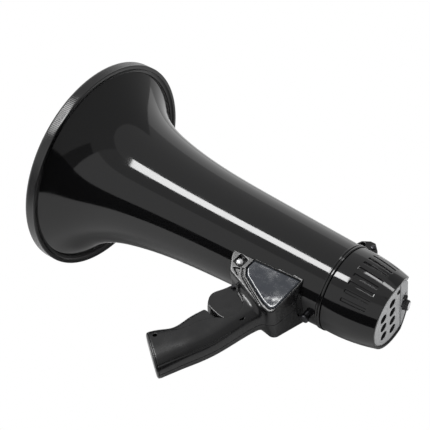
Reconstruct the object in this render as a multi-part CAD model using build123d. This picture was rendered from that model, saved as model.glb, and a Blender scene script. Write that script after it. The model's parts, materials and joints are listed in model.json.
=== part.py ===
from build123d import *
import math
import os

# Handheld megaphone, 230 mm mouth. Millimetres.
# +X runs forward along the horn's axis and out of the mouth, +Z is up and +Y is the holder's left.
# The origin is the middle of the mouth rim's front plane.

# ---------------------------------------------------------------- driving dimensions
MOUTH_R = 115.0          # outer radius of the mouth rim
RIM_DEPTH = 12.5         # length of the rim guard along the axis
WALL = 2.5               # wall of the moulded horn and rear cover
JOINT_X = -315.0         # where the rear cover meets the horn
REAR_X = -374.0          # rearmost plane of the rear cover
REAR_R = 37.0            # outer radius of the rear cover at that plane
TUBE_R = 44.3            # outer radius of the horn at the joint

# horn outline: a few (x, radius) points that its smooth curve passes through
BELL_CURVE = [(-8, 110), (-20.7, 94.9), (-32, 84.2), (-48, 74.0), (-83, 62.4),
              (-132, 54.4), (-207, 49.2), (JOINT_X, TUBE_R)]

# rear cover
VENT_COUNT = 9           # vent slots on each side
VENT_STEP = 11.6         # degrees between vent slots
VENT_LENGTH = 26.0
VENT_WIDTH = 3.0
VENT_DEPTH = 1.4
PANEL_SPLIT_Z = 12.4     # height where the grille ends and the control panel starts
PANEL_TILT = 11.0        # control panel leans forward, in degrees
PANEL_R = 34.6           # radius of the rear opening's panels
PANEL_X = -372.4         # outer face of the grille panel
GRILLE_THICK = 4.5
GRILLE_HOLE_R = 5.0
GRILLE_PITCH = 13.1      # between holes in a row
# (z, y of the row's middle, places in pitches) of each row of holes
GRILLE_ROWS = [(-0.9, -3.0, [-1.5, -0.5, 0.5, 1.5]), (-16.2, -4.0, [-1, 0, 1])]
JACK_POS = (22.6, 9.6)   # (y, z) of the audio jack
JACK_R = 1.8              # 3.5 mm plug with clearance
KNOB_R = 5.6
KNOB_HEIGHT = 5.4
KNOB_POS = (-5.2, 18.6)  # (y, z)
SLIDER_Y = 3.6
SLIDER_Z = 20.6
SLIDER_TRAVEL = 3.0      # each way

# bracket between horn and grip
BRACKET_FRONT_X = -213.0
BRACKET_REAR_X = -294.5
SIDE_TOP_Y = 31.0        # half width where the bracket meets the horn ...
SIDE_TOP_Z = -36.0
SIDE_LOW_Y = 20.8        # ... and at its lowest corner
SIDE_LOW_Z = -74.0
BRACKET_WALL = 3.0
PLATE_THICK = 1.6
SCREW_X, SCREW_Z = -226.3, -45.3
SCREW_SEAT_Y = 26.6      # where the silver screw's head rests
SCREW_HEAD_R = 4.2

# pistol grip
GRIP_LEAN = 22.2         # the grip's foot stands this many degrees forward
GRIP_ANCHOR = (-242.3, -106.6)   # (x, z) of a point on its centre line
# (distance down the centre line, half depth, half width, shift ahead) of each cross section
GRIP_STATIONS = [(-52, 22.8, 18.5, 1.2), (-30, 20.9, 17.5, 1.2), (0, 21.8, 17.0, 0.1), (20, 22.1, 16.7, -0.2),
                 (40, 20.5, 16.4, 0.3), (49, 22.2, 16.2, 3.0), (58, 23.7, 16.0, 5.3), (84, 23.4, 15.6, 7.6)]
GRIP_WALL = 3.0
FOOT_FRONT = (-190.0, -152.2)    # (x, z) of the foot plane's front end
FOOT_REAR = (-234.5, -186.7)
LANYARD_POS = (-205.5, -154.0)
LANYARD_R = 2.0
HANDLE_SCREWS = [(-246.0, -118.0), (-228.0, -158.0)]   # (x, z)

# trigger
PIVOT = (-233.0, -66.5)
TRIGGER_HALF_Y = 13.2
PIN_R = 2.0
RUN_GAP = 0.05           # radial running clearance on shafts

# driver and horn throat
DRIVER_R = 34.0
TONE_END_X = -146.0
BAFFLE_X = -158.0

# batteries
CELL_R, CELL_LENGTH = 13.1, 50.0
TRAY_FRONT_X = -180.0

nodes = {}


# ---------------------------------------------------------------- helpers
def keep(name, shape):
    nodes[name] = shape


def lathe(profile):
    """Turn a face drawn in the XZ plane about the X axis."""
    return revolve(profile, Axis.X, 360)


def ring_section(x0, x1, r0, r1):
    """Rectangle in the XZ plane from x0 to x1 and from radius r0 to r1."""
    return Plane.XZ * Polygon((x0, r0), (x1, r0), (x1, r1), (x0, r1), align=None)


def tube(x0, x1, r_in, r_out):
    return lathe(ring_section(x0, x1, r_in, r_out))


def rod_x(x0, x1, radius, y=0.0, z=0.0):
    return Pos((x0 + x1) / 2, y, z) * Rot(0, 90, 0) * Cylinder(radius, abs(x1 - x0))


def rod_y(x, z, y0, y1, radius):
    return Pos(x, (y0 + y1) / 2, z) * Rot(90, 0, 0) * Cylinder(radius, abs(y1 - y0))


def block(x0, x1, y0, y1, z0, z1):
    return Pos((x0 + x1) / 2, (y0 + y1) / 2, (z0 + z1) / 2) * Box(abs(x1 - x0), abs(y1 - y0), abs(z1 - z0))


def side_prism(points, y0, y1):
    """Polygon of (x, z) points, extruded from y0 to y1."""
    face = Face(Wire.make_polygon([Vector(x, y0, z) for x, z in points], close=True))
    return extrude(face, amount=y1 - y0, dir=(0, 1, 0))


def cross_prism(points, x0, x1):
    """Polygon of (y, z) points, extruded from x0 to x1."""
    face = Face(Wire.make_polygon([Vector(x0, y, z) for y, z in points], close=True))
    return extrude(face, amount=x1 - x0, dir=(1, 0, 0))


def group(parts):
    return Compound(children=list(parts))


# ---------------------------------------------------------------- horn
def bell_solid(inset, x_front, x_rear):
    """Solid of revolution under the horn's curve, moved inwards by inset."""
    points = [(x, r - inset) for x, r in BELL_CURVE]
    with BuildSketch(Plane.XZ) as sketch:
        with BuildLine():
            Spline(*points)
            Line(points[-1], (points[-1][0], 0))
            Line((points[-1][0], 0), (points[0][0], 0))
            Line((points[0][0], 0), points[0])
        make_face()
    return lathe(sketch.sketch) & block(x_rear, x_front, -200, 200, -200, 200)


def make_horn():
    outer = bell_solid(0, BELL_CURVE[0][0], JOINT_X)
    inner = bell_solid(WALL, BELL_CURVE[0][0], JOINT_X)
    keep("horn_bell", outer - inner)

    rim = Plane.XZ * Polygon(
        (0, MOUTH_R - 3), (-3, MOUTH_R), (-RIM_DEPTH + 1, MOUTH_R), (-RIM_DEPTH, MOUTH_R - 1),
        (-RIM_DEPTH, MOUTH_R - 4.2), (-RIM_DEPTH + 1.4, MOUTH_R - 4.8), (-RIM_DEPTH + 1.4, 108.6),
        (-7.9, 110.2), (-7.9, 107.4), (-3, 106.5), (0, 108), align=None)
    keep("rim_guard", lathe(rim))


def make_driver():
    dome = Plane.XZ * Polygon(
        (-38, 0), (-38.6, 8), (-41, 17), (-46, 26), (-53, 32), (-60, DRIVER_R), (-88, DRIVER_R),
        (-88, DRIVER_R - 2.2), (-60.5, DRIVER_R - 2.2), (-54, 29.8), (-47.6, 24.4), (-43, 16), (-41, 8),
        (-40.4, 0), align=None)
    keep("driver_cover", lathe(dome))
    keep("driver_magnet", tube(-66, -53, 13.4, 24))
    keep("driver_yoke", tube(-52.95, -49.5, 0.1, 24) + rod_x(-69, -52.95, 11.2))
    keep("driver_frame", tube(-74, -66.05, 13.4, 29.5))
    keep("voice_coil", tube(-75, -64.5, 11.6, 12.6))
    diaphragm = Plane.XZ * Polygon(
        (-75.05, 26), (-75.05, 11), (-79, 8), (-81, 0), (-81.5, 0), (-79.6, 8.4), (-75.9, 11.6), (-75.9, 26),
        align=None)
    keep("driver_diaphragm", lathe(diaphragm))
    flange = tube(-90.5, -88.05, 8.5, DRIVER_R)
    sleeve = Plane.XZ * Polygon((-90.4, 8.5), (TONE_END_X, 12), (TONE_END_X, 14.2), (-90.4, 12.5), align=None)
    keep("tone_tube", flange + lathe(sleeve))
    angles = [30 + 120 * i for i in range(3)]
    keep("driver_screws", group([
        rod_x(-92.6, -90.55, 2.4, 25 * math.cos(math.radians(a)), 25 * math.sin(math.radians(a)))
        for a in angles]))

    hub = tube(-136, -124, 14.3, 16.8)
    rib = block(-134, -126, -1.5, 1.5, 16, 60)
    ribs = hub
    for a in (90, 210, 330):
        ribs = ribs + Rot(a - 90, 0, 0) * rib
    ribs = ribs & bell_solid(WALL + 0.1, -100, -160)
    keep("throat_spider", ribs)

    baffle = Plane.XZ * Polygon(
        (BAFFLE_X + 6, 0), (BAFFLE_X + 1, 9), (BAFFLE_X - 3, 18), (BAFFLE_X - 3, 32), (BAFFLE_X + 4, 44),
        (BAFFLE_X + 12, 49.6), (BAFFLE_X + 12, 51.3), (BAFFLE_X - 6, 48.9), (BAFFLE_X - 6, 0), align=None)
    keep("reflex_baffle", lathe(baffle) & bell_solid(WALL + 0.1, -100, -200))


def make_batteries():
    ring = CELL_R * math.sqrt(2) + 0.3
    starts = [TRAY_FRONT_X - 5, TRAY_FRONT_X - 5 - CELL_LENGTH - 3]
    cells = []
    contacts = []
    for start in starts:
        for k in range(4):
            a = math.radians(45 + 90 * k)
            y, z = ring * math.cos(a), ring * math.sin(a)
            cells.append(rod_x(start - CELL_LENGTH, start, CELL_R, y, z))
    for k in range(4):
        a = math.radians(45 + 90 * k)
        y, z = ring * math.cos(a), ring * math.sin(a)
        contacts.append(rod_x(TRAY_FRONT_X - 4.9, TRAY_FRONT_X - 4, 6, y, z))
        contacts.append(rod_x(TRAY_FRONT_X - 109, TRAY_FRONT_X - 108.1, 6, y, z))
    keep("battery_cells", group(cells))
    keep("battery_contacts", group(contacts))
    spine = rod_x(TRAY_FRONT_X - 109, TRAY_FRONT_X - 4.0, 3.8)
    middle = tube(TRAY_FRONT_X - 5 - CELL_LENGTH - 2.9, TRAY_FRONT_X - 5 - CELL_LENGTH - 0.1, 3.8, 41)
    keep("battery_tray", tube(TRAY_FRONT_X - 4, TRAY_FRONT_X, 0.1, 43) + spine + middle)
    keep("battery_tray_lid", tube(TRAY_FRONT_X - 113, TRAY_FRONT_X - 109.05, 0.1, 41.5))


# ---------------------------------------------------------------- rear cover
def cover_solid(inset, x_front, x_rear):
    """Solid under the rear cover's arc, moved inwards by inset."""
    start = (JOINT_X, TUBE_R - inset)
    middle = (-348, 42.6 - inset)
    end = (REAR_X, REAR_R - inset)
    with BuildSketch(Plane.XZ) as sketch:
        with BuildLine():
            ThreePointArc(start, middle, end)
            Line(end, (REAR_X, 0))
            Line((REAR_X, 0), (JOINT_X, 0))
            Line((JOINT_X, 0), start)
        make_face()
    return lathe(sketch.sketch) & block(x_rear, x_front, -60, 60, -60, 60)


def rear_keep(shift):
    """Everything in front of the rear end's outline, moved forward by shift."""
    slope = math.tan(math.radians(PANEL_TILT))
    top_z = 31.7
    top_x = REAR_X + (top_z - 11) * slope
    return side_prism([
        (REAR_X + shift, -60), (-300, -60), (-300, 60), (top_x + shift + 34, 60),
        (top_x + shift, top_z), (REAR_X + shift, 11)], -60, 60)


def panel_frame():
    """Plane on the control panel's outer face: Z outwards, X to +Y, Y up the slope."""
    tilt = math.radians(PANEL_TILT)
    return Plane(origin=(PANEL_X - 0.8, 0, PANEL_SPLIT_Z), x_dir=(0, -1, 0),
                 z_dir=(-math.cos(tilt), 0, math.sin(tilt)))


def panel_point(y, z):
    """Point on the control panel's outer face at height z."""
    return (PANEL_X - 0.8 + (z - PANEL_SPLIT_Z) * math.tan(math.radians(PANEL_TILT)), y, z)


def on_panel(y, z, shape):
    """Place a shape, drawn about its own Z axis, on the control panel."""
    frame = panel_frame()
    return Plane(origin=panel_point(y, z), x_dir=frame.x_dir, z_dir=frame.z_dir) * shape


def make_rear():
    keep("joint_ring", tube(JOINT_X - 2.6, JOINT_X + 2.6, 44.75, 46.0)
         - tube(JOINT_X - 0.5, JOINT_X + 0.5, 45.4, 47))

    outer = cover_solid(0, JOINT_X - 0.1, REAR_X) & rear_keep(0)
    inner = cover_solid(WALL, JOINT_X + 1, -366.5)
    opening = rod_x(-380, -360, PANEL_R)
    shell = outer - inner - opening
    seat = tube(-366.4, -364.9, 31.5, 37.5) & cover_solid(WALL - 0.3, JOINT_X, REAR_X)
    shell = shell + (seat & rear_keep(8))
    for side in (1, -1):
        for k in range(VENT_COUNT):
            a = (k - (VENT_COUNT - 1) / 2) * VENT_STEP
            angle = a if side > 0 else 180 - a
            slot = Pos(-347.5, 42.7, 0) * Rot(0, 0, 7) * Box(VENT_LENGTH, 2 * VENT_DEPTH, VENT_WIDTH)
            shell = shell - Rot(angle, 0, 0) * slot
    keep("rear_cover", shell)

    disc = rod_x(PANEL_X, PANEL_X + GRILLE_THICK, PANEL_R - 0.1)
    grille = disc & block(-380, -360, -50, 50, -50, PANEL_SPLIT_Z - 0.1)
    for z, middle, steps in GRILLE_ROWS:
        for s in steps:
            grille = grille - rod_x(-380, -360, GRILLE_HOLE_R, middle + s * GRILLE_PITCH, z)
    grille = grille - rod_x(-380, -360, JACK_R + 0.8, *JACK_POS)
    keep("grille_panel", grille)
    keep("audio_jack", Pos(0, *JACK_POS) * tube(-372.9, -358, JACK_R, JACK_R + 0.7))

    slab = panel_frame() * Pos(0, 20.8, -1.5) * Box(90, 40, 3.0)
    panel = slab & rod_x(-380, -355, PANEL_R - 0.1) & rear_keep(0.8)
    panel = panel - on_panel(KNOB_POS[0], KNOB_POS[1], Cylinder(2.5, 20))
    slot = Box(3.4, 2 * SLIDER_TRAVEL + 4.4, 20)
    panel = panel - on_panel(SLIDER_Y, SLIDER_Z, slot)
    keep("control_panel", panel)

    y, z = KNOB_POS
    knob = Pos(0, 0, 0.5 + KNOB_HEIGHT / 2) * Cylinder(KNOB_R, KNOB_HEIGHT)
    bore = Cylinder(1.5, 2 * (KNOB_HEIGHT - 1.5))
    pointer = Pos(0, KNOB_R - 1.2, KNOB_HEIGHT + 0.4) * Box(0.9, 2.6, 0.8)
    keep("volume_knob", on_panel(y, z, knob - bore - pointer))
    shaft = Pos(0, 0, 0.3) * Cylinder(1.5 - RUN_GAP, 6.4)
    bush = Pos(0, 0, -1.6) * (Cylinder(2.35, 3.1))
    pot = Pos(0, 0, -6.2) * Box(11, 11, 6.2)
    keep("volume_pot", on_panel(y, z, shaft + bush + pot))

    stem = Pos(0, 0, -0.4) * Box(2.6, 3.6, 5.6)
    cap = Pos(0, 0, 1.9) * Box(3.2, 4.6, 1.6)
    ridge = Pos(0, 0, 2.9) * Box(3.0, 1.0, 0.8)
    keep("mode_slider", on_panel(SLIDER_Y, SLIDER_Z, stem + cap + ridge))
    body = Pos(0, 0, -5.8) * Box(6, 11, 4.8)
    keep("mode_switch", on_panel(SLIDER_Y, SLIDER_Z, body))

    keep("mic_capsule", rod_x(-363, -356, 9.5, 0, -4))
    keep("mic_foam", rod_x(PANEL_X + GRILLE_THICK + 0.05, -363.05, 12, 0, -4))
    keep("amplifier_board", block(-352, -318, -36, 36, -21.6, -20)
         & cover_solid(WALL + 0.5, JOINT_X, REAR_X))
    sink = block(-346, -322, -15, 15, -19.95, -17)
    for k in range(7):
        y_fin = -14.4 + 4.8 * k
        sink = sink + block(-346, -322, y_fin - 0.7, y_fin + 0.7, -17, -6)
    keep("heat_sink", sink)
    keep("board_capacitors", group([
        Pos(-349, s * 20, -13.45) * Cylinder(3.4, 13) for s in (-1, 1)]
        + [Pos(-330, s * 24, -14.95) * Cylinder(5, 10) for s in (-1, 1)]))


# ---------------------------------------------------------------- strap fixings
def make_strap_fixings():
    outline = [(-296, 40), (-296, 47), (-300, 55.5), (-308, 60.2), (-313.5, 60.2), (-320.5, 53),
               (-320.5, 47.2), (-311.5, 47.0), (-311.5, 40)]
    lug = side_prism(outline, -6, 6) - bell_solid(-0.1, -250, JOINT_X)
    lug = lug - rod_y(-303.5, 52.3, -8, 8, 2.5) - rod_y(-314.5, 54.3, -8, 8, 1.6)
    keep("strap_lug", lug)
    screw = rod_y(-314.5, 54.3, -6.6, 6.0, 1.5) + rod_y(-314.5, 54.3, 6.05, 8.0, 3.0)
    keep("strap_lug_screw", screw + rod_y(-314.5, 54.3, 5.5, 6.6, 1.5))
    post = Pos(-305, 0, -48.4) * Cylinder(4.0, 9.2)
    post = post + Pos(-305, 0, -52.0) * Cylinder(4.8, 2.4)
    keep("strap_post", post - bell_solid(-0.1, -250, JOINT_X))


# ---------------------------------------------------------------- handle: bracket and pistol grip
def side_y(z, inset=0.0):
    """Half width of the tapered bracket at height z."""
    t = (z - SIDE_TOP_Z) / (SIDE_LOW_Z - SIDE_TOP_Z)
    return SIDE_TOP_Y + t * (SIDE_LOW_Y - SIDE_TOP_Y) - inset


def bracket_outline(inset):
    """(x, z) outline of the bracket; its rear edge leans forward towards the bottom."""
    return [(BRACKET_FRONT_X - inset, -20), (BRACKET_FRONT_X - 1 - inset, -42),
            (-223 - inset, -58.5 + inset), (-271, -74.4 + inset), (-282 + inset / 3, -76.6 + inset),
            (-286.4 + inset, -73.5 + inset), (BRACKET_REAR_X + inset, -30), (BRACKET_REAR_X + inset, -20)]


def bracket_solid(inset):
    top, low = -20, -80
    taper = cross_prism([(side_y(top, inset), top), (side_y(low, inset), low),
                         (-side_y(low, inset), low), (-side_y(top, inset), top)], -310, -200)
    return side_prism(bracket_outline(inset), -50, 50) & taper


def plate_outline(grow):
    """(x, z) outline of the triangular side plate."""
    return [(-231.5 + grow, -35.5), (-236.5 + grow, -47.5), (-235.5 + grow, -52 - grow),
            (-271, -70 - grow * 1.1), (-281, -72.4 - grow), (-285.4 - grow, -69), (-291.7 - grow, -31.5)]


def grip_plane(distance, forward=0.0):
    """Plane across the grip, a distance down its centre line from the anchor."""
    lean = math.radians(GRIP_LEAN)
    down = Vector(math.sin(lean), 0, -math.cos(lean))
    ahead = Vector(math.cos(lean), 0, math.sin(lean))
    origin = Vector(GRIP_ANCHOR[0], 0, GRIP_ANCHOR[1]) + down * distance + ahead * forward
    return Plane(origin=origin, x_dir=ahead, z_dir=down)


def grip_solid(inset):
    """Lofted grip: rounded rectangles along the leaning centre line."""
    sections = []
    for distance, half_d, half_y, forward in GRIP_STATIONS:
        radius = min(half_y - inset - 1.0, 13.5 - inset * 0.6)
        outline = RectangleRounded(2 * (half_d - inset), 2 * (half_y - inset), radius)
        sections.append(grip_plane(distance, forward) * outline)
    return loft(sections, ruled=False)


def foot_slab(offset, thickness):
    """Slab under the slanting foot plane, from offset to offset + thickness along its normal."""
    dx, dz = FOOT_REAR[0] - FOOT_FRONT[0], FOOT_REAR[1] - FOOT_FRONT[1]
    length = math.hypot(dx, dz)
    nx, nz = -dz / length, dx / length
    front = (FOOT_FRONT[0] - 2 * dx, FOOT_FRONT[1] - 2 * dz)
    rear = (FOOT_REAR[0] + 2 * dx, FOOT_REAR[1] + 2 * dz)
    corners = [(front, offset), (rear, offset), (rear, offset + thickness), (front, offset + thickness)]
    return side_prism([(x + nx * d, z + nz * d) for (x, z), d in corners], -60, 60)


def make_handle():
    """Two moulded halves, each with its side of the bracket and of the grip."""
    below_bracket = side_prism([(-200, -49.0), (-300, -82), (-300, -260), (-120, -260), (-120, -49.0)],
                               -60, 60)
    grip = (grip_solid(0) & below_bracket) - foot_slab(0, 90)
    bracket = bracket_solid(0) - bell_solid(-0.1, -150, JOINT_X)
    outer = bracket + grip

    bracket_hollow = bracket_solid(BRACKET_WALL) & block(-320, -200, -60, 60, -100, -53)
    grip_hollow = grip_solid(GRIP_WALL) & side_prism(
        [(-264, -60), (-232, -60), (-232, -96), (-213.5, -137), (-240, -200), (-264, -200)], -40, 40)
    body = outer - bracket_hollow - grip_hollow

    # each side plate's recess, and the pocket that the silver screw's head stands in
    for side in (1, -1):
        skin = bracket_solid(0) - bracket_solid(PLATE_THICK)
        body = body - (skin & side_prism(plate_outline(0.2), 0, side * 50))
        body = body - rod_y(SCREW_X, SCREW_Z, side * SCREW_SEAT_Y, side * 40, SCREW_HEAD_R + 1.8)
    body = body - rod_y(SCREW_X, SCREW_Z, -40, 40, 2.2)

    # room for the trigger between the cheeks, and the opening that it shows through
    body = body - side_prism([(-226.5, -54), (-262, -54), (-262, -96), (-226.5, -96)], -13.9, 13.9)
    body = body - side_prism([(-195, -56), (-240, -60), (-261.5, -92), (-252, -108), (-226, -103), (-195, -94)],
                             -13.9, 13.9)
    body = body - side_prism(
        [(-195, -71.5), (-236, -71.5), (-246, -74), (-251, -80), (-251, -92), (-246, -102),
         (-237, -104.3), (-228, -101.8), (-195, -93)], -40, 40)
    body = body - side_prism([(-195, -59), (-226, -59.6), (-226, -75), (-195, -75)], -40, 40)
    body = body - rod_y(LANYARD_POS[0], LANYARD_POS[1], -40, 40, LANYARD_R)
    body = body - rod_y(PIVOT[0], PIVOT[1], -40, 40, PIN_R)

    # screw bosses that join the halves
    screws = []
    for x, z in HANDLE_SCREWS:
        body = body + rod_y(x, z, -14.2, 14.2, 4.2)
        body = body - rod_y(x, z, -40, -14.2, 3.3)
        screws.append(rod_y(x, z, -16.0, -14.25, 3.0))
    keep("handle_screws", group(screws))

    body = body - foot_slab(-2.6, 20)
    keep("handle_left", body & block(-320, -150, 0, 60, -240, 0))
    keep("handle_right", body & block(-320, -150, -60, 0, -240, 0))
    keep("handle_foot_cap", grip_solid(0) & foot_slab(-2.5, 2.5))


def make_bracket_trim():
    for name, side in (("side_plate_left", 1), ("side_plate_right", -1)):
        skin = bracket_solid(0) - bracket_solid(PLATE_THICK - 0.05)
        plate = skin & side_prism(plate_outline(0), 0, side * 50)
        keep(name, plate - bell_solid(0, -150, JOINT_X))
    screws = []
    for side in (1, -1):
        shank = rod_y(SCREW_X, SCREW_Z, side * 22.6, side * SCREW_SEAT_Y, 2.1)
        dome = Pos(SCREW_X, side * (SCREW_SEAT_Y - 0.6), SCREW_Z) * Sphere(SCREW_HEAD_R)
        dome = dome & rod_y(SCREW_X, SCREW_Z, side * SCREW_SEAT_Y, side * 40, SCREW_HEAD_R)
        screws.append(shank + dome)
    keep("bracket_screws", group(screws))


# ---------------------------------------------------------------- trigger
def make_trigger():
    outline = [(-228.5, -62), (-223.3, -72.9), (-218.1, -80.5), (-216.8, -84.3), (-217.2, -88.8), (-219.8, -94.2),
               (-223.5, -98.5), (-243, -103), (-252, -94), (-254, -80), (-247, -70.5), (-238, -62),
               (-233, -61.3)]
    body = side_prism(outline, -TRIGGER_HALF_Y, TRIGGER_HALF_Y)
    body = body + rod_y(PIVOT[0], PIVOT[1], -TRIGGER_HALF_Y, TRIGGER_HALF_Y, 5.0)
    hollow = side_prism([(-223.5, -77), (-225, -91), (-242, -98), (-260, -93), (-260, -72), (-240, -72)],
                        -TRIGGER_HALF_Y + 2.2, TRIGGER_HALF_Y - 2.2)
    body = body - hollow - rod_y(PIVOT[0], PIVOT[1], -40, 40, PIN_R + RUN_GAP)
    body = body - block(-241, -226.5, -6, 6, -74, -56)
    keep("trigger", body)
    keep("trigger_pin", rod_y(PIVOT[0], PIVOT[1], -16.6, 16.6, PIN_R))
    coil = Helix(pitch=1.6, height=8.0, radius=3.0, direction=(0, 1, 0))
    wire = Plane(origin=coil @ 0, z_dir=coil % 0) * Circle(0.45)
    keep("trigger_spring", Pos(PIVOT[0], -4.0, PIVOT[1]) * sweep(wire, path=coil))
    keep("micro_switch", block(-260.3, -253.6, -9, 9, -104.5, -94)
         + block(-253.6, -252.2, -2, 2, -101, -97))


# ---------------------------------------------------------------- build and write
make_horn()
make_driver()
make_batteries()
make_rear()
make_strap_fixings()
make_handle()
make_bracket_trim()
make_trigger()

os.makedirs("parts", exist_ok=True)
for name, shape in nodes.items():
    solids = shape.solids()
    result = solids[0] if len(solids) == 1 else Compound(children=solids)
    result.label = name
    export_step(result, f"parts/{name}.step")
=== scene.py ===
"""Handheld megaphone: detailed pieces, materials, stage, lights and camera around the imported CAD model.

The frame is in metres with +X out of the horn's mouth, +Z up and +Y to the holder's left, and the origin
is in the middle of the mouth rim. The shapes below are written in millimetres and scaled once, in new_mesh.
"""
import json
import math

import bpy
import numpy as np
import openvdb
from mathutils import Matrix, Vector


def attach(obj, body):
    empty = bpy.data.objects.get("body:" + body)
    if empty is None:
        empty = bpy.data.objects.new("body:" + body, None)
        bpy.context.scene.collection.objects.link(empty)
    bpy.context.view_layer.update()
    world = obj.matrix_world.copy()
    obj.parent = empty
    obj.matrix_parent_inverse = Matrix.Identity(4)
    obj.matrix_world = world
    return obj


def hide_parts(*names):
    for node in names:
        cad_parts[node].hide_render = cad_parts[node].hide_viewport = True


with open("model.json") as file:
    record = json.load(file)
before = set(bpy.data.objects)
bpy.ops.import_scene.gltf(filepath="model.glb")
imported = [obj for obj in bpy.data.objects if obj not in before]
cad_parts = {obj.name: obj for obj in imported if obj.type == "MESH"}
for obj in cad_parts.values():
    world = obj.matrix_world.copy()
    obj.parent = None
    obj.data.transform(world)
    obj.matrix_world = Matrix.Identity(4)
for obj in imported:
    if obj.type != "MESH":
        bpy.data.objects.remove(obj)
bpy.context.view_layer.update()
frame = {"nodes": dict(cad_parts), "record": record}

MM = 0.001
BODY = "megaphone"

# ---------------------------------------------------------------- driving dimensions, in mm
MOUTH_R = 115.0
RIM_DEPTH = 12.5
WALL = 2.5
FIT_GAP = 0.05                    # between pieces that lie on each other
JOINT_X = -315.0
REAR_X = -374.0
TUBE_R = 44.3
REAR_R = 37.0
BELL_CURVE = [(-8, 110), (-20.7, 94.9), (-32, 84.2), (-48, 74.0), (-83, 62.4),
              (-132, 54.4), (-207, 49.2), (JOINT_X, TUBE_R)]
COVER_ARC = [(JOINT_X, TUBE_R), (-348, 42.6), (REAR_X, REAR_R)]

# ---------------------------------------------------------------- camera and stage, in metres
CAMERA_PLACE = Vector((-0.798, 1.0472, -0.6732))
CAMERA_TARGET = Vector((-0.1541, 0.0032, 0.0049))
CAMERA_UP = Vector((0.4071, 0.6607, 0.6307))
CAMERA_LENS = 114.4
CAMERA_SENSOR = 36.0
TABLE_UP = Vector((0.2024, 0.9214, 0.3317)).normalized()
TABLE_DROP = 0.1235          # from the origin down to the table
HORN_AXIS = Vector((1, 0, 0))
CAMERA_SIDE_ROLL = math.radians(33.0)   # from +Y down to the side of the horn that faces the camera


# ================================================================ mesh helpers
def new_mesh(name, points_mm, faces):
    """Mesh object from points in millimetres."""
    mesh = bpy.data.meshes.new(name)
    points = np.asarray(points_mm, dtype=float) * MM
    mesh.from_pydata(points.tolist(), [], [list(map(int, f)) for f in faces])
    mesh.validate()
    mesh.update()
    mesh.shade_smooth()
    obj = bpy.data.objects.new(name, mesh)
    bpy.context.scene.collection.objects.link(obj)
    return obj


def grid_faces(rows, columns, closed=False):
    """Quads of a rows by columns grid of points, row by row. A closed grid joins up both ways."""
    faces = []
    for i in range(rows if closed else rows - 1):
        for j in range(columns if closed else columns - 1):
            a = i * columns + j
            b = i * columns + (j + 1) % columns
            c = ((i + 1) % rows) * columns + (j + 1) % columns
            d = ((i + 1) % rows) * columns + j
            faces.append((a, b, c, d))
    return faces


def lathe(name, profile, segments, radius_at=None):
    """Turn a closed loop of (x, r) points about the X axis.

    radius_at(x, r, angles) may vary the radius around the turn.
    """
    angles = np.linspace(0, 2 * math.pi, segments, endpoint=False)
    points = []
    for x, r in profile:
        radii = np.full(segments, r) if radius_at is None else radius_at(x, r, angles)
        points += [(x, q * math.cos(a), q * math.sin(a)) for q, a in zip(radii, angles)]
    faces = grid_faces(len(profile), segments, closed=True)
    return new_mesh(name, points, faces)


def natural_spline(points):
    """Smooth curve r(x) through (x, r) points, as a function of an array of x."""
    pts = sorted(points)
    xs = np.array([p[0] for p in pts], float)
    rs = np.array([p[1] for p in pts], float)
    n = len(xs)
    h = np.diff(xs)
    system = np.eye(n)
    right = np.zeros(n)
    for i in range(1, n - 1):
        system[i, i - 1:i + 2] = (h[i - 1], 2 * (h[i - 1] + h[i]), h[i])
        right[i] = 6 * ((rs[i + 1] - rs[i]) / h[i] - (rs[i] - rs[i - 1]) / h[i - 1])
    bend = np.linalg.solve(system, right)

    def curve(x):
        x = np.asarray(x, float)
        k = np.clip(np.searchsorted(xs, x) - 1, 0, n - 2)
        a, b = xs[k + 1] - x, x - xs[k]
        return ((bend[k] * a ** 3 + bend[k + 1] * b ** 3) / (6 * h[k])
                + (rs[k] / h[k] - bend[k] * h[k] / 6) * a + (rs[k + 1] / h[k] - bend[k + 1] * h[k] / 6) * b)
    return curve


bell_radius = natural_spline(BELL_CURVE)


def circle_through(p, q, r):
    """Centre and radius of the circle through three (x, y) points."""
    ax, ay, bx, by, cx, cy = *p, *q, *r
    d = 2 * (ax * (by - cy) + bx * (cy - ay) + cx * (ay - by))
    ux = ((ax**2 + ay**2) * (by - cy) + (bx**2 + by**2) * (cy - ay) + (cx**2 + cy**2) * (ay - by)) / d
    uy = ((ax**2 + ay**2) * (cx - bx) + (bx**2 + by**2) * (ax - cx) + (cx**2 + cy**2) * (bx - ax)) / d
    return ux, uy, math.hypot(ax - ux, ay - uy)


COVER_CX, COVER_CY, COVER_CR = circle_through(*COVER_ARC)


def cover_radius(x):
    return COVER_CY + np.sqrt(np.maximum(COVER_CR ** 2 - (np.asarray(x, float) - COVER_CX) ** 2, 0))


def arc(centre, radius, start, end, steps):
    """Points on an arc; angles in degrees, in the (x, r) plane."""
    return [(centre[0] + radius * math.cos(math.radians(a)), centre[1] + radius * math.sin(math.radians(a)))
            for a in np.linspace(start, end, steps)]


# ================================================================ solid fields, for rounded moulded shapes
def field_mesh(name, field, low, high, step):
    """Mesh of the zero surface of field(x, y, z), which is negative inside. All in mm."""
    low, high = np.array(low, float), np.array(high, float)
    counts = np.ceil((high - low) / step).astype(int) + 1
    axes = [low[i] + step * np.arange(counts[i]) for i in range(3)]
    x, y, z = np.meshgrid(*axes, indexing="ij", sparse=True)
    values = np.ascontiguousarray(np.broadcast_to(field(x, y, z), counts), dtype=np.float32)
    grid = openvdb.FloatGrid(background=float(step * 3))
    grid.copyFromArray(np.clip(values, -3 * step, 3 * step))
    points, quads = grid.convertToQuads(isovalue=0.0)
    return new_mesh(name, points * step + low, quads[:, ::-1])


def smooth_max(a, b, k):
    """Intersection with a rounded edge of about k."""
    h = np.maximum(k - np.abs(a - b), 0.0) / k
    return np.maximum(a, b) + h * h * k * 0.25


def smooth_min(a, b, k):
    """Union with a blend of about k."""
    return -smooth_max(-a, -b, k)


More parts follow.
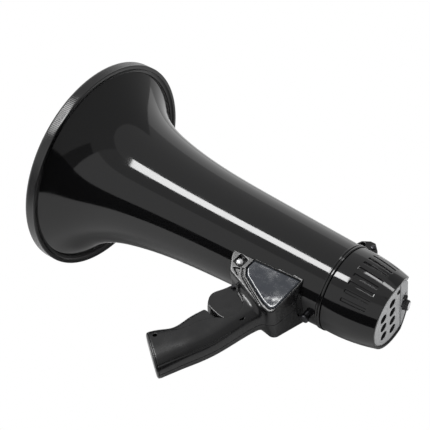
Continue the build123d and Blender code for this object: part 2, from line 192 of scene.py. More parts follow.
def half_plane(u, v, p, q):
    """Signed distance to the line from p to q in the (u, v) plane, positive on its left."""
    du, dv = q[0] - p[0], q[1] - p[1]
    length = math.hypot(du, dv)
    return ((v - p[1]) * du - (u - p[0]) * dv) / length


def polygon_field(u, v, points, k):
    """Convex polygon, listed clockwise in (u, v), with corners rounded by k. Negative inside."""
    result = None
    for i, p in enumerate(points):
        side = half_plane(u, v, p, points[(i + 1) % len(points)])
        result = side if result is None else smooth_max(result, side, k)
    return result


def cylinder_field(u, v, centre, radius):
    return np.sqrt((u - centre[0]) ** 2 + (v - centre[1]) ** 2) - radius


def box_field(x, y, z, half, k):
    return smooth_max(smooth_max(np.abs(x) - half[0], np.abs(y) - half[1], k), np.abs(z) - half[2], k)


# ================================================================ materials
MATS = {}
NOISE_DETAIL = 4.0


def material(name, colour, roughness, metallic=0.0, ior=1.5):
    mat = bpy.data.materials.new(name)
    mat.use_nodes = True
    shader = mat.node_tree.nodes["Principled BSDF"]
    shader.inputs["Base Color"].default_value = (*colour, 1)
    shader.inputs["Roughness"].default_value = roughness
    shader.inputs["Metallic"].default_value = metallic
    shader.inputs["IOR"].default_value = ior
    MATS[name] = mat
    return mat


def node(mat, kind, **inputs):
    made = mat.node_tree.nodes.new(kind)
    for key, value in inputs.items():
        made.inputs[key.replace("_", " ")].default_value = value
    return made


def link(mat, out_node, out_name, in_node, in_name):
    mat.node_tree.links.new(out_node.outputs[out_name], in_node.inputs[in_name])


def object_noise(mat, scale, stretch):
    coords = mat.node_tree.nodes.new("ShaderNodeTexCoord")
    mapping = node(mat, "ShaderNodeMapping", Scale=stretch)
    noise = node(mat, "ShaderNodeTexNoise", Scale=scale, Detail=NOISE_DETAIL)
    link(mat, coords, "Object", mapping, "Vector")
    link(mat, mapping, "Vector", noise, "Vector")
    return noise


def vary(mat, scale, low, high, stretch=(1, 1, 1)):
    """Drive the roughness from object-space noise, between two values."""
    noise = object_noise(mat, scale, stretch)
    span = mat.node_tree.nodes.new("ShaderNodeMapRange")
    span.inputs["From Min"].default_value = 0.3
    span.inputs["From Max"].default_value = 0.7
    span.inputs["To Min"].default_value = low
    span.inputs["To Max"].default_value = high
    link(mat, noise, "Fac", span, "Value")
    link(mat, span, "Result", mat.node_tree.nodes["Principled BSDF"], "Roughness")


def mottle(mat, scale, low, high):
    """Drive the base colour from object-space noise, between two colours."""
    noise = object_noise(mat, scale, (1, 1, 1))
    ramp = mat.node_tree.nodes.new("ShaderNodeValToRGB")
    for element, position, colour in zip(ramp.color_ramp.elements, (0.35, 0.65), (low, high)):
        element.position = position
        element.color = (*colour, 1)
    link(mat, noise, "Fac", ramp, "Fac")
    link(mat, ramp, "Color", mat.node_tree.nodes["Principled BSDF"], "Base Color")


def bump(mat, layers):
    """Object-space noise bumps: (scale, detail, distance in metres, strength) for each layer."""
    shader = mat.node_tree.nodes["Principled BSDF"]
    coords = mat.node_tree.nodes.new("ShaderNodeTexCoord")
    previous = None
    for scale, detail, distance, strength in layers:
        noise = node(mat, "ShaderNodeTexNoise", Scale=scale, Detail=detail)
        link(mat, coords, "Object", noise, "Vector")
        made = node(mat, "ShaderNodeBump", Strength=strength, Distance=distance)
        link(mat, noise, "Fac", made, "Height")
        if previous is not None:
            link(mat, previous, "Normal", made, "Normal")
        previous = made
    link(mat, previous, "Normal", shader, "Normal")


def make_black_materials():
    """Gloss and satin plastic of the outside, and the tinted plate."""
    m = material("gloss_black", (0.0025, 0.0025, 0.0027), 0.07)
    vary(m, 60, 0.055, 0.10)
    bump(m, [(9, 1, 0.00025, 0.25), (420, 2, 0.00002, 0.25)])
    m = material("rim_black", (0.004, 0.004, 0.0042), 0.16)
    vary(m, 90, 0.12, 0.24)
    bump(m, [(500, 2, 0.00003, 0.3)])
    m = material("handle_black", (0.005, 0.005, 0.0054), 0.24)
    vary(m, 70, 0.2, 0.3)
    bump(m, [(600, 2, 0.00003, 0.3)])
    m = material("trigger_black", (0.006, 0.006, 0.0064), 0.22)
    vary(m, 90, 0.18, 0.3)
    bump(m, [(700, 2, 0.00005, 0.4)])
    m = material("smoke_plate", (0.012, 0.015, 0.021), 0.06, ior=1.7)
    vary(m, 60, 0.04, 0.16)
    bump(m, [(45, 2, 0.0009, 0.6)])


def make_panel_materials():
    """Grey rear panels and their black knobs; the control panel's grey is darker than the grille's as
    painted shade.
    """
    m = material("grille_grey", (0.4, 0.405, 0.41), 0.38)
    mottle(m, 300, (0.385, 0.39, 0.395), (0.415, 0.42, 0.425))
    bump(m, [(1500, 2, 0.00006, 0.35)])
    # Darker copy of grille_grey: painted shade for the control panel, which leans away from the light.
    m = material("panel_grey", (0.3, 0.305, 0.31), 0.4)
    mottle(m, 300, (0.28, 0.285, 0.29), (0.32, 0.325, 0.33))
    bump(m, [(1500, 2, 0.00006, 0.35)])
    m = material("knob_black", (0.012, 0.012, 0.013), 0.25)
    vary(m, 200, 0.2, 0.34)
    m = material("dark_plastic", (0.012, 0.012, 0.013), 0.42)
    vary(m, 120, 0.35, 0.55)
    bump(m, [(900, 2, 0.00005, 0.4)])


def make_metal_materials():
    """Steel, aluminium, copper and cell cans; the silver screw is with them."""
    m = material("steel", (0.55, 0.56, 0.57), 0.3, metallic=1.0)
    vary(m, 500, 0.22, 0.42, stretch=(1, 1, 12))
    m = material("dark_steel", (0.06, 0.06, 0.065), 0.32, metallic=1.0)
    vary(m, 600, 0.24, 0.42)
    m = material("silver_screw", (0.86, 0.86, 0.87), 0.13, metallic=1.0)
    vary(m, 900, 0.08, 0.22)
    m = material("bare_aluminium", (0.72, 0.72, 0.73), 0.36, metallic=1.0)
    vary(m, 700, 0.28, 0.46, stretch=(1, 8, 1))
    m = material("copper", (0.75, 0.36, 0.2), 0.3, metallic=1.0)
    vary(m, 900, 0.22, 0.42, stretch=(10, 1, 1))
    m = material("cell_metal", (0.05, 0.055, 0.065), 0.28, metallic=0.5)
    vary(m, 300, 0.22, 0.36)


def make_inner_materials():
    """Foam, board, magnet and diaphragm behind the panels."""
    m = material("foam", (0.012, 0.012, 0.012), 0.95)
    bump(m, [(2200, 3, 0.0006, 1.0)])
    m = material("board_green", (0.01, 0.07, 0.03), 0.35)
    mottle(m, 800, (0.008, 0.06, 0.025), (0.012, 0.085, 0.04))
    m = material("magnet", (0.03, 0.03, 0.032), 0.6, metallic=0.4)
    bump(m, [(1200, 3, 0.0001, 0.6)])
    m = material("diaphragm", (0.2, 0.1, 0.045), 0.5)
    mottle(m, 400, (0.17, 0.085, 0.04), (0.24, 0.12, 0.055))


make_black_materials()
make_panel_materials()
make_metal_materials()
make_inner_materials()
SLOT_OF = {row["node"]: row["material_slot"] for row in frame["record"]["subparts"]}


def finish_piece(obj, body, cad_nodes, slot):
    """Material, body and the CAD nodes that the piece stands for."""
    obj.data.materials.clear()
    obj.data.materials.append(MATS[slot])
    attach(obj, body)
    if cad_nodes:
        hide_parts(*cad_nodes)
    return obj


# ================================================================ horn
def make_bell():
    front = BELL_CURVE[0][0]
    xs = np.concatenate([np.linspace(front, -60, 70), np.linspace(-62, JOINT_X, 110)])
    outer = list(zip(xs, bell_radius(xs)))
    inner = [(x, r - WALL) for x, r in reversed(outer)]
    bell = lathe("horn_bell_moulding", outer + inner, segments=288)
    finish_piece(bell, BODY, ["horn_bell"], "gloss_black")


RIDGES = 360
RIDGE_DEPTH = 0.14


def make_rim():
    """Chunky guard: fine ridges across its band and two steps on the rear face."""
    band_front, band_rear = -2.2, -RIM_DEPTH + 0.9
    profile = [(-7.9, 107.5), (-3.2, 106.6)]
    profile += arc((-1.2, 108.2), 1.2, 200, 360, 8)
    profile += arc((-2.2, MOUTH_R - 2.3), 2.2, 0, 88, 8)
    xs = np.linspace(band_front, band_rear, 12)
    profile += [(x, MOUTH_R - 0.02) for x in xs]
    profile += arc((-RIM_DEPTH + 0.8, MOUTH_R - 0.8), 0.8, 92, 180, 6)
    profile += [(-RIM_DEPTH, MOUTH_R - 3.6)]
    profile += [(-RIM_DEPTH + 0.25, MOUTH_R - 4.1), (-RIM_DEPTH + 1.4, MOUTH_R - 4.4)]
    profile += [(-RIM_DEPTH + 1.4, MOUTH_R - 7.6), (-RIM_DEPTH + 1.6, MOUTH_R - 8.0)]
    profile += [(-RIM_DEPTH + 2.6, MOUTH_R - 8.2), (-9.0, 108.7)]

    def ridged(x, r, angles):
        """Ridges fade out at both corners of the band."""
        on_band = 1.0 if band_rear + 0.2 < x < band_front + 0.2 and r > MOUTH_R - 0.5 else 0.0
        wave = 0.5 - 0.5 * np.cos(angles * RIDGES)
        return r - on_band * RIDGE_DEPTH * wave

    rim = lathe("rim_guard_ring", profile, segments=RIDGES * 5, radius_at=ridged)
    finish_piece(rim, BODY, ["rim_guard"], "rim_black")


JOINT_RING_R = 45.4


def make_joint_ring():
    crown = JOINT_RING_R
    profile = [(JOINT_X + 2.6, 44.35), (JOINT_X + 2.4, crown - 0.25), (JOINT_X + 2.0, crown)]
    profile += [(JOINT_X + 0.6, crown), (JOINT_X + 0.35, crown - 0.3), (JOINT_X + 0.2, crown - 0.8),
                (JOINT_X - 0.2, crown - 0.8), (JOINT_X - 0.35, crown - 0.3), (JOINT_X - 0.6, crown)]
    profile += [(JOINT_X - 2.0, crown), (JOINT_X - 2.4, crown - 0.25), (JOINT_X - 2.6, 44.0)]
    ring = lathe("joint_ring_band", profile, segments=288)
    finish_piece(ring, BODY, ["joint_ring"], "gloss_black")


# ================================================================ rear cover
VENT_COUNT = 9
VENT_STEP = 11.6
VENT_FRONT, VENT_REAR = -334.5, -360.5
VENT_WIDTH = 3.0
VENT_DEPTH = 1.4
VENT_EDGE = 0.45
VENT_RING_R = 42.5                # mean radius of the cover where the vents are
EDGE_STEPS = np.linspace(-0.5, 0.5, 6)
COVER_FRONT_X = JOINT_X - 2.65
VENT_ZONE_X = -361.5              # behind this the rings start to follow the slanting rear edge
LIP_R = 0.6
PANEL_SPLIT_Z = 12.4
PANEL_TILT = math.radians(11.0)
PANEL_R = 34.6
TOP_CUT_Z = 31.7
LEAN_START_Z = 11.0


def cover_end(angle):
    """x of the cover's rear edge at an angle from +Y: flat below, leaning forward above, then cut off."""
    x = REAR_X
    for _ in range(30):
        z = float(cover_radius(x)) * math.sin(angle)
        x = REAR_X + max(0.0, z - LEAN_START_Z) * math.tan(PANEL_TILT) + max(0.0, z - TOP_CUT_Z)
    return x


def bump_step(distance, edge):
    """1 inside, 0 outside, with a soft shoulder of the given width."""
    t = np.clip(0.5 - distance / edge, 0, 1)
    return t * t * (3 - 2 * t)


def vent_places():
    """Angles of the vents' middles, fanned out on both flanks."""
    degrees = [side * (k - (VENT_COUNT - 1) / 2) * VENT_STEP + (0 if side > 0 else 180)
               for side in (1, -1) for k in range(VENT_COUNT)]
    return np.radians(np.mod(degrees, 360))


def cover_angles(vents):
    """Angles round the cover, closer together at the vents' edges."""
    half = math.degrees(VENT_WIDTH / 2 / VENT_RING_R)
    edge = math.degrees(VENT_EDGE / VENT_RING_R)
    lines = set(np.round(np.arange(0, 360, 1.25), 4))
    for a in np.degrees(vents):
        for side in (-1, 1):
            lines.update(round(float((a + side * half + t * edge) % 360), 4) for t in EDGE_STEPS)
    return np.radians(np.array(sorted(lines)))


def vented_rings(angles, vents):
    """(x, radius) of the rings from the joint to behind the vents."""
    xs = set(np.round(np.linspace(COVER_FRONT_X, VENT_ZONE_X, 34), 3))
    for x in (VENT_FRONT, VENT_REAR):
        xs.update(round(x + t * VENT_EDGE, 3) for t in EDGE_STEPS)
    gap = np.abs(np.angle(np.exp(1j * (angles[:, None] - vents[None, :])))).min(axis=1) * VENT_RING_R
    across = bump_step(gap - VENT_WIDTH / 2, VENT_EDGE)
    rings = []
    for x in sorted(xs, reverse=True):
        along = bump_step(max(x - VENT_FRONT, VENT_REAR - x), VENT_EDGE)
        rings.append((np.full(len(angles), x), cover_radius(x) - VENT_DEPTH * along * across))
    return rings


def rear_rings(ends):
    """(x, radius) of the rings round the rear lip, the panels' seat and back along the inside."""
    lip = ends + LIP_R
    xs = [VENT_ZONE_X + t * (lip - VENT_ZONE_X) for t in np.linspace(0.12, 1, 12)]
    rings = [(x, cover_radius(x)) for x in xs]
    for t in np.linspace(15, 90, 6):
        a = math.radians(t)
        radius = cover_radius(lip) - LIP_R + LIP_R * math.cos(a) - 0.1 * t / 90
        rings.append((lip - LIP_R * math.sin(a), radius))
    for r, inset in ((PANEL_R + 0.25, 0.0), (PANEL_R, 0.3), (PANEL_R, 2.6), (PANEL_R - 3, 2.8)):
        rings.append((ends + inset, np.minimum(r, cover_radius(lip) - 0.9)))
    rings.append((ends + 5.0, np.minimum(PANEL_R - 3.0, cover_radius(ends) - 4)))
    rings.append((np.full(len(ends), -330.0), np.full(len(ends), 40.4)))
    rings.append((np.full(len(ends), COVER_FRONT_X), np.full(len(ends), TUBE_R - WALL)))
    return rings


def make_cover():
    vents = vent_places()
    angles = cover_angles(vents)
    rings = vented_rings(angles, vents) + rear_rings(np.array([cover_end(a) for a in angles]))
    points = []
    for x, r in rings:
        points += list(zip(x, r * np.cos(angles), r * np.sin(angles)))
    cover = new_mesh("rear_cover_shell", points, grid_faces(len(rings), len(angles), closed=True))
    finish_piece(cover, BODY, ["rear_cover"], "gloss_black")


# ================================================================ rear panels
PANEL_X = -372.4
GRILLE_THICK = 4.5
GRILLE_PITCH = 13.1
# (z, y of the row's middle, places in pitches) of each row of holes
GRILLE_ROWS = [(-0.9, -3.0, (-1.5, -0.5, 0.5, 1.5)), (-16.2, -4.0, (-1, 0, 1))]
GRILLE_HOLES = [(middle + GRILLE_PITCH * s, z) for z, middle, places in GRILLE_ROWS for s in places]
GRILLE_HOLE_R = 5.0
JACK = (22.6, 9.6)
JACK_HOLE_R = 2.6
FINE_STEP = 0.35                  # of the voxels of small moulded pieces
GRILLE_SKIN = 0.9                 # pale front sheet; behind it the plate is dark, painted shade on the holes' walls
KNOB = (-5.2, 18.6)
SLIDER = (3.6, 20.6)


def panel_frame_at(y, z):
    """Matrix, in mm, of a spot on the control panel: Z out of the panel, Y up its slope."""
    out = Vector((-math.cos(PANEL_TILT), 0, math.sin(PANEL_TILT)))
    up = Vector((math.sin(PANEL_TILT), 0, math.cos(PANEL_TILT)))
    side = up.cross(out)
    place = Vector((PANEL_X - 0.8 + (z - PANEL_SPLIT_Z) * math.tan(PANEL_TILT), y, z))
    return Matrix(((side.x, up.x, out.x, place.x), (side.y, up.y, out.y, place.y),
                   (side.z, up.z, out.z, place.z), (0, 0, 0, 1)))


def moved(points, matrix):
    return [tuple(matrix @ Vector(p)) for p in points]


def turned(profile, segments, matrix, radius_at=None):
    """Points and faces of (r, h) points turned about Z, then moved; a zero radius closes an end."""
    points, faces, rings = [], [], []
    angles = np.linspace(0, 2 * math.pi, segments, endpoint=False)
    for r, h in profile:
        if r < 1e-6:
            rings.append([len(points)])
            points.append((0, 0, h))
            continue
        radii = np.full(segments, r) if radius_at is None else radius_at(r, h, angles)
        rings.append(list(range(len(points), len(points) + segments)))
        points += [(q * math.cos(a), q * math.sin(a), h) for q, a in zip(radii, angles)]
    for low, high in zip(rings, rings[1:]):
        for j in range(segments):
            k = (j + 1) % segments
            if len(low) == 1 and len(high) > 1:
                faces.append((low[0], high[k], high[j]))
            elif len(high) == 1 and len(low) > 1:
                faces.append((low[j], low[k], high[0]))
            elif len(low) > 1:
                faces.append((low[j], low[k], high[k], high[j]))
    return moved(points, matrix), faces


def merged(name, parts):
    """One mesh from several (points, faces) pairs."""
    points, faces = [], []
    for more_points, more_faces in parts:
        base = len(points)
        points += list(more_points)
        faces += [tuple(i + base for i in f) for f in more_faces]
    return new_mesh(name, points, faces)


def crisp(obj, degrees=32):
    """Smooth shading, but sharp across edges steeper than this."""
    obj.data.set_sharp_from_angle(angle=math.radians(degrees))
    return obj


def make_grille():
    """Pale plate with seven round mic holes; the jack's hole is cut in its upper corner. Behind a thin pale
    skin the plate is dark plastic, painted shade on the holes' walls.
    """
    def field(x, y, z):
        disc = smooth_max(cylinder_field(y, z, (0, 0), PANEL_R - 0.15), z - PANEL_SPLIT_Z + 0.15, 0.8)
        shape = smooth_max(disc, PANEL_X - x, 0.9)
        for y0, z0 in GRILLE_HOLES:
            shape = smooth_max(shape, -cylinder_field(y, z, (y0, z0), GRILLE_HOLE_R), 0.5)
        shape = smooth_max(shape, -cylinder_field(y, z, JACK, JACK_HOLE_R), 0.5)
        return shape

    def front(x, y, z):
        return np.maximum(field(x, y, z), x - PANEL_X - GRILLE_SKIN)

    # Dark back layer of the plate, its hole walls set back 0.3 mm: painted shade inside the mic holes.
    def hole_shade_field(x, y, z):
        back = np.maximum(PANEL_X + GRILLE_SKIN + FIT_GAP - x, x - PANEL_X - GRILLE_THICK)
        return np.maximum(field(x, y, z) + 0.3, back)

    low, high = (PANEL_X - 1.2, -36, -36), (PANEL_X + 5.7, 36, 14)
    plate = field_mesh("grille_plate", front, low, high, FINE_STEP)
    finish_piece(plate, BODY, ["grille_panel"], "grille_grey")
    # Painted shade: the dark back layer that darkens the walls of the holes.
    hole_shade = field_mesh("grille_hole_painted_shade", hole_shade_field, low, high, FINE_STEP)
    finish_piece(hole_shade, BODY, ["grille_panel"], "dark_plastic")


def make_control_panel():
    """Grey panel over the grille, leaning forward, with a seat for the knob and a slot for the slider."""
    tan = math.tan(PANEL_TILT)

    def field(x, y, z):
        face = (PANEL_X - 0.8 + (z - PANEL_SPLIT_Z) * tan - x) * math.cos(PANEL_TILT)
        shape = smooth_max(cylinder_field(y, z, (0, 0), PANEL_R - 0.15), PANEL_SPLIT_Z + 0.15 - z, 0.8)
        shape = smooth_max(shape, z - TOP_CUT_Z + 0.6, 0.8)
        shape = smooth_max(shape, face, 0.9)
        slot = box_field(x - PANEL_X, y - SLIDER[0], z - SLIDER[1], (9, 1.8, 5.3), 0.4)
        shape = smooth_max(shape, -slot, 0.4)
        shape = smooth_max(shape, -cylinder_field(y, z, KNOB, 2.7), 0.4)
        dish = np.maximum(cylinder_field(y, z, KNOB, 6.6), -face - 0.7)
        shape = smooth_max(shape, -dish, 0.4)
        return np.maximum(shape, -face - 3.0)
    low, high = (PANEL_X - 2.2, -36, PANEL_SPLIT_Z - 1.5), (PANEL_X + 8.5, 36, 33.5)
    panel = field_mesh("control_plate", field, low, high, FINE_STEP)
    # Painted shade: the darker panel_grey stands in for the shade on the leaning panel.
    finish_piece(panel, BODY, ["control_panel"], "panel_grey")


def make_jack():
    profile = [(1.85, -14.2), (2.45, -14.2), (2.45, 0.1), (2.3, 0.35), (2.05, 0.4), (1.85, 0.2)]
    profile.append(profile[0])
    out = Matrix(((0, 0, -1, PANEL_X - 0.1), (0, 1, 0, JACK[0]), (1, 0, 0, JACK[1]), (0, 0, 0, 1)))
    jack = merged("audio_jack_sleeve", [turned(profile, 48, out)])
    finish_piece(crisp(jack), BODY, ["audio_jack"], "dark_plastic")


def make_knob():
    """Fluted knob with a silver inlay in its dished top."""
    def fluted(r, h, angles):
        if r < 4.9 or not 0.9 < h < 5.2:
            return np.full(len(angles), r)
        return r - 0.28 * (0.5 - 0.5 * np.cos(angles * 24)) ** 2

    profile = [(1.5, 0.5), (5.35, 0.5), (5.6, 0.8), (5.6, 1.2), (5.52, 1.8), (5.45, 3.0)]
    profile += [(5.35, 4.4), (5.25, 5.0)]
    profile += [(4.4 + 0.6 * math.cos(t), 5.3 + 0.6 * math.sin(t)) for t in np.linspace(0.2, math.pi / 2, 5)]
    profile += [(4.1, 5.85), (4.0, 5.6), (2.0, 5.5), (0, 5.5)]
    place = panel_frame_at(*KNOB)
    knob = merged("volume_knob_cap", [turned(profile, 192, place, fluted)])
    finish_piece(crisp(knob, 40), "volume_knob", ["volume_knob"], "knob_black")
    inlay = turned([(3.9, 5.52), (3.9, 5.9), (3.7, 6.02), (2.0, 6.08), (0, 6.1)], 96, place)
    inlay = merged("volume_knob_inlay", [inlay])
    finish_piece(crisp(inlay, 40), "volume_knob", ["volume_knob"], "silver_screw")


def rounded_box(half, radius, steps=5):
    """Points and faces of a box about the origin with rounded edges."""
    side = [np.concatenate([-h + radius - radius * np.cos(np.linspace(0, math.pi / 2, steps)),
                            h - radius + radius * np.sin(np.linspace(0, math.pi / 2, steps))]) for h in half]
    points, faces = [], []
    for axis in range(3):
        u, v = (axis + 1) % 3, (axis + 2) % 3
        for sign in (-1, 1):
            base = len(points)
            for a in side[u]:
                for b in side[v]:
                    p = [0.0, 0.0, 0.0]
                    p[u], p[v], p[axis] = a, b, sign * half[axis]
                    core = [max(-h + radius, min(h - radius, q)) for h, q in zip(half, p)]
                    away = Vector([q - c for q, c in zip(p, core)])
                    points.append(tuple(Vector(core) + away.normalized() * radius))
            quads = grid_faces(len(side[u]), len(side[v]))
            faces += [tuple(base + i for i in (q if sign < 0 else reversed(q))) for q in quads]
    return points, faces


def make_slider():
    place = panel_frame_at(*SLIDER)
    cap = rounded_box((1.5, 2.2, 0.9), 0.3)
    parts = [([(x, y, z + 1.9) for x, y, z in cap[0]], cap[1])]
    for y0 in (-1.2, 0.0, 1.2):
        ridge = rounded_box((1.4, 0.3, 0.4), 0.15, 3)
        parts.append(([(x, y + y0, z + 2.95) for x, y, z in ridge[0]], ridge[1]))
    stem = rounded_box((1.2, 1.7, 2.7), 0.2, 3)
    parts.append(([(x, y, z - 0.5) for x, y, z in stem[0]], stem[1]))
    slider = merged("mode_slider_cap", [(moved(p, place), f) for p, f in parts])
    finish_piece(slider, "mode_slider", ["mode_slider"], "knob_black")


# ================================================================ handle
BRACKET_OUTLINE = [(-213, -20), (-214, -42), (-223, -58.5), (-271, -74.4), (-282, -76.6), (-286.4, -73.5),
                   (-294.5, -30), (-294.5, -20)]
PLATE_OUTLINE = [(-231.2, -38.2), (-231.8, -39.5), (-236.5, -47.5), (-235.5, -52), (-271, -70),
                 (-281, -72.4), (-285.4, -69), (-291.3, -35.0)]
SIDE_TOP = (-36.0, 31.0)          # (z, half width)
SIDE_LOW = (-74.0, 20.8)
PLATE_THICK = 1.6
SCREW = (-226.3, -45.3)
SCREW_SEAT_Y = 26.6
SCREW_HEAD_R = 4.2
GRIP_LEAN = math.radians(22.2)
GRIP_ANCHOR = (-242.3, -106.6)
# (distance down the centre line, half depth, half width, shift ahead) of each cross section
GRIP_STATIONS = [(-52, 22.8, 18.5, 1.2), (-30, 20.9, 17.5, 1.2), (0, 21.8, 17.0, 0.1),
                 (20, 22.1, 16.7, -0.2), (40, 20.5, 16.4, 0.3), (49, 22.2, 16.2, 3.0),
                 (58, 23.7, 16.0, 5.3), (84, 23.4, 15.6, 7.6)]
GRIP_POWER = 2.5                  # 2 would make each cross section an ellipse
FOOT_FRONT = (-190.0, -152.2)
FOOT_REAR = (-234.5, -186.7)
FOOT_CAP = 2.5
LANYARD = (-205.5, -154.0)
LANYARD_R = 2.0
HANDLE_SCREWS = [(-246.0, -118.0), (-228.0, -158.0)]
HANDLE_SCREW_Y = -14.3
HANDLE_SCREW_HOLE_R = 3.5
BRACKET_BLEND = 8.0               # between bracket and grip
BACK_LINE_Y = 9.5
TRIGGER_WINDOW = [(-190, -60), (-226, -60), (-228, -71.5), (-236, -71.5), (-246, -74), (-251, -80),
                  (-251, -92), (-250, -98), (-243, -103.4), (-224, -99.0), (-219.5, -94.5), (-190, -62)]
SHOULDER_LINE = [(-234, -60), (-241, -68.5), (-248, -72), (-254, -78), (-257, -89), (-250, -101.5),
                 (-239, -108), (-230, -119), (-223.5, -132), (-215, -140), (-150, -140), (-150, -60)]
FRONT_HALF_Y = 14.3               # half width of the flat flank in front of the shoulder line
PIVOT = (-233.0, -66.5)
PIN_HOLE_R = 2.0
CHEEK_ROOM = [(-195, -94), (-226, -103), (-252, -108), (-264, -92), (-262, -78), (-240, -56), (-195, -56)]
CHEEK_ROOM_HALF_Y = 13.9
NOTCH = [(-224.5, -53.5), (-233.5, -58.8), (-231.0, -51.5)]
POCKET = (-226.8, -44.6)
POCKET_HALF = 5.0
POCKET_TURN = math.radians(12.0)
SHOULDER_GAP = ((-238.0, -66.5), (-266.0, -77.5))
HANDLE_STEP = 0.5
PLATE_STAND = 0.004               # how far the plate's face leans out towards its lower edge


def outline_field(u, v, points):
    """Signed distance to any closed outline, negative inside."""
    u, v = np.broadcast_arrays(u, v)
    nearest = np.full(u.shape, 1e9)
    inside = np.zeros(u.shape, bool)
    for i, p in enumerate(points):
        q = points[(i + 1) % len(points)]
        du, dv = q[0] - p[0], q[1] - p[1]
        t = np.clip(((u - p[0]) * du + (v - p[1]) * dv) / (du * du + dv * dv), 0, 1)
        nearest = np.minimum(nearest, np.hypot(u - p[0] - t * du, v - p[1] - t * dv))
        crosses = (p[1] > v) != (q[1] > v)
        with np.errstate(divide="ignore", invalid="ignore"):
            at = p[0] + (v - p[1]) / (dv if dv else 1e-9) * du
        inside ^= crosses & (u < at)
    return np.where(inside, -nearest, nearest)


def softened(points, rounds=2):
    """Corner-cutting of a closed outline."""
    for _ in range(rounds):
        cut = []
        for i, p in enumerate(points):
            q = points[(i + 1) % len(points)]
            cut.append((p[0] * 0.8 + q[0] * 0.2, p[1] * 0.8 + q[1] * 0.2))
            cut.append((p[0] * 0.2 + q[0] * 0.8, p[1] * 0.2 + q[1] * 0.8))
        points = cut
    return points


def side_width(z):
    """Half width of the tapered bracket at height z."""
    t = (z - SIDE_TOP[0]) / (SIDE_LOW[0] - SIDE_TOP[0])
    return SIDE_TOP[1] + t * (SIDE_LOW[1] - SIDE_TOP[1])


SIDE_LEAN = math.cos(math.atan((SIDE_TOP[1] - SIDE_LOW[1]) / (SIDE_TOP[0] - SIDE_LOW[0])))


def side_field(y, z):
    """Distance outside the bracket's leaning sides."""
    return (np.abs(y) - side_width(z)) * SIDE_LEAN


def grip_axes(x, z):
    """Distance down the grip's centre line and ahead of it."""
    dx, dz = x - GRIP_ANCHOR[0], z - GRIP_ANCHOR[1]
    down = dx * math.sin(GRIP_LEAN) - dz * math.cos(GRIP_LEAN)
    ahead = dx * math.cos(GRIP_LEAN) + dz * math.sin(GRIP_LEAN)
    return down, ahead


def grip_field(x, y, z):
    """Rounded rectangle swept down the grip."""
    down, ahead = grip_axes(x, z)
    curves = [natural_spline([(s[0], s[k]) for s in GRIP_STATIONS]) for k in (1, 2, 3)]
    reach = np.clip(down, -58, 96)
    half_d, half_y, forward = (c(reach) for c in curves)
    a = np.abs(ahead - forward) / half_d
    b = np.abs(y) / half_y
    rounded = ((a ** GRIP_POWER + b ** GRIP_POWER) ** (1 / GRIP_POWER) - 1) * half_y
    return np.maximum(rounded, -50.0 - down)


def foot_field(x, z):
    """Positive below the slanting foot plane."""
    return half_plane(x, z, FOOT_REAR, FOOT_FRONT) * -1.0


def horn_field(x, y, z):
    """Distance outside the horn's tube."""
    return np.hypot(y, z) - bell_radius(np.clip(x, JOINT_X, -150))


def shouldered_grip(x, y, z):
    """The grip, narrowed to a flat flank in front of the shoulder line."""
    front = np.maximum(outline_field(x, z, softened(SHOULDER_LINE, 2)), FRONT_HALF_Y - np.abs(y))
    return smooth_max(grip_field(x, y, z), -front, 1.0)


def with_bracket(grip, x, y, z):
    """Bracket blended with the grip, and the groove between their flanks."""
    bracket = smooth_max(polygon_field(x, z, BRACKET_OUTLINE, 2.0), side_field(y, z), 1.6)
    body = smooth_min(bracket, grip, BRACKET_BLEND)
    groove = np.maximum(np.abs(half_plane(x, z, *SHOULDER_GAP)) - 0.5, -side_field(y, z) - 1.2)
    return smooth_max(body, -np.maximum(groove, x + 238), 0.4)


def cut_trigger_room(body, x, y, z):
    """Opening for the trigger, and the room between the cheeks."""
    body = smooth_max(body, -outline_field(x, z, softened(TRIGGER_WINDOW, 1)), 1.5)
    room = np.maximum(np.abs(y) - CHEEK_ROOM_HALF_Y, polygon_field(x, z, CHEEK_ROOM, 1.0))
    return np.maximum(body, -room)


def cut_plate_recess(body, x, y, z):
    """Recess of the side plate, and the groove beside its front and lower edges."""
    inward = -side_field(y, z)
    recess = np.maximum(polygon_field(x, z, PLATE_OUTLINE, 1.2) - 0.4, inward - PLATE_THICK - 0.3)
    body = smooth_max(body, -recess, 0.4)
    beside = smooth_max(half_plane(x, z, PLATE_OUTLINE[3], PLATE_OUTLINE[4]),
                        half_plane(x, z, PLATE_OUTLINE[1], PLATE_OUTLINE[2]), 2.0)
    groove = np.maximum(np.abs(beside - 3.6) - 0.8, inward - 0.9)
    return smooth_max(body, -np.maximum(groove, z + 50.0), 0.4)


def cut_screw_pocket(body, x, y, z, side):
    """Square pocket of the silver screw, and the notch under it."""
    pocket = np.maximum(square_field(x, z, POCKET, POCKET_HALF), SCREW_SEAT_Y - side * y)
    body = smooth_max(body, -pocket, 0.5)
    notch = np.maximum(polygon_field(x, z, NOTCH, 0.8), -side_field(y, z) - 1.6)
    return smooth_max(body, -notch, 0.4)


def cut_back_lines(body, grip, x, y, z):
    """A fine moulding line down each side of the grip's back."""
    down, ahead = grip_axes(x, z)
    line = np.maximum(np.abs(np.abs(y) - BACK_LINE_Y) - 0.35, ahead + 10)
    return smooth_max(body, -np.maximum(line, np.maximum(-down - 5, -(grip + 0.5))), 0.3)


def cut_holes(body, x, y, z, side):
    """Lanyard hole, pin hole and, on the right half, the screws' holes."""
    body = smooth_max(body, -cylinder_field(x, z, LANYARD, LANYARD_R), 0.8)
    body = np.maximum(body, -cylinder_field(x, z, PIVOT, PIN_HOLE_R))
    if side < 0:
        for place in HANDLE_SCREWS:
            hole = np.maximum(cylinder_field(x, z, place, HANDLE_SCREW_HOLE_R), y - HANDLE_SCREW_Y - 0.1)
            body = smooth_max(body, -hole, 0.6)
    return body


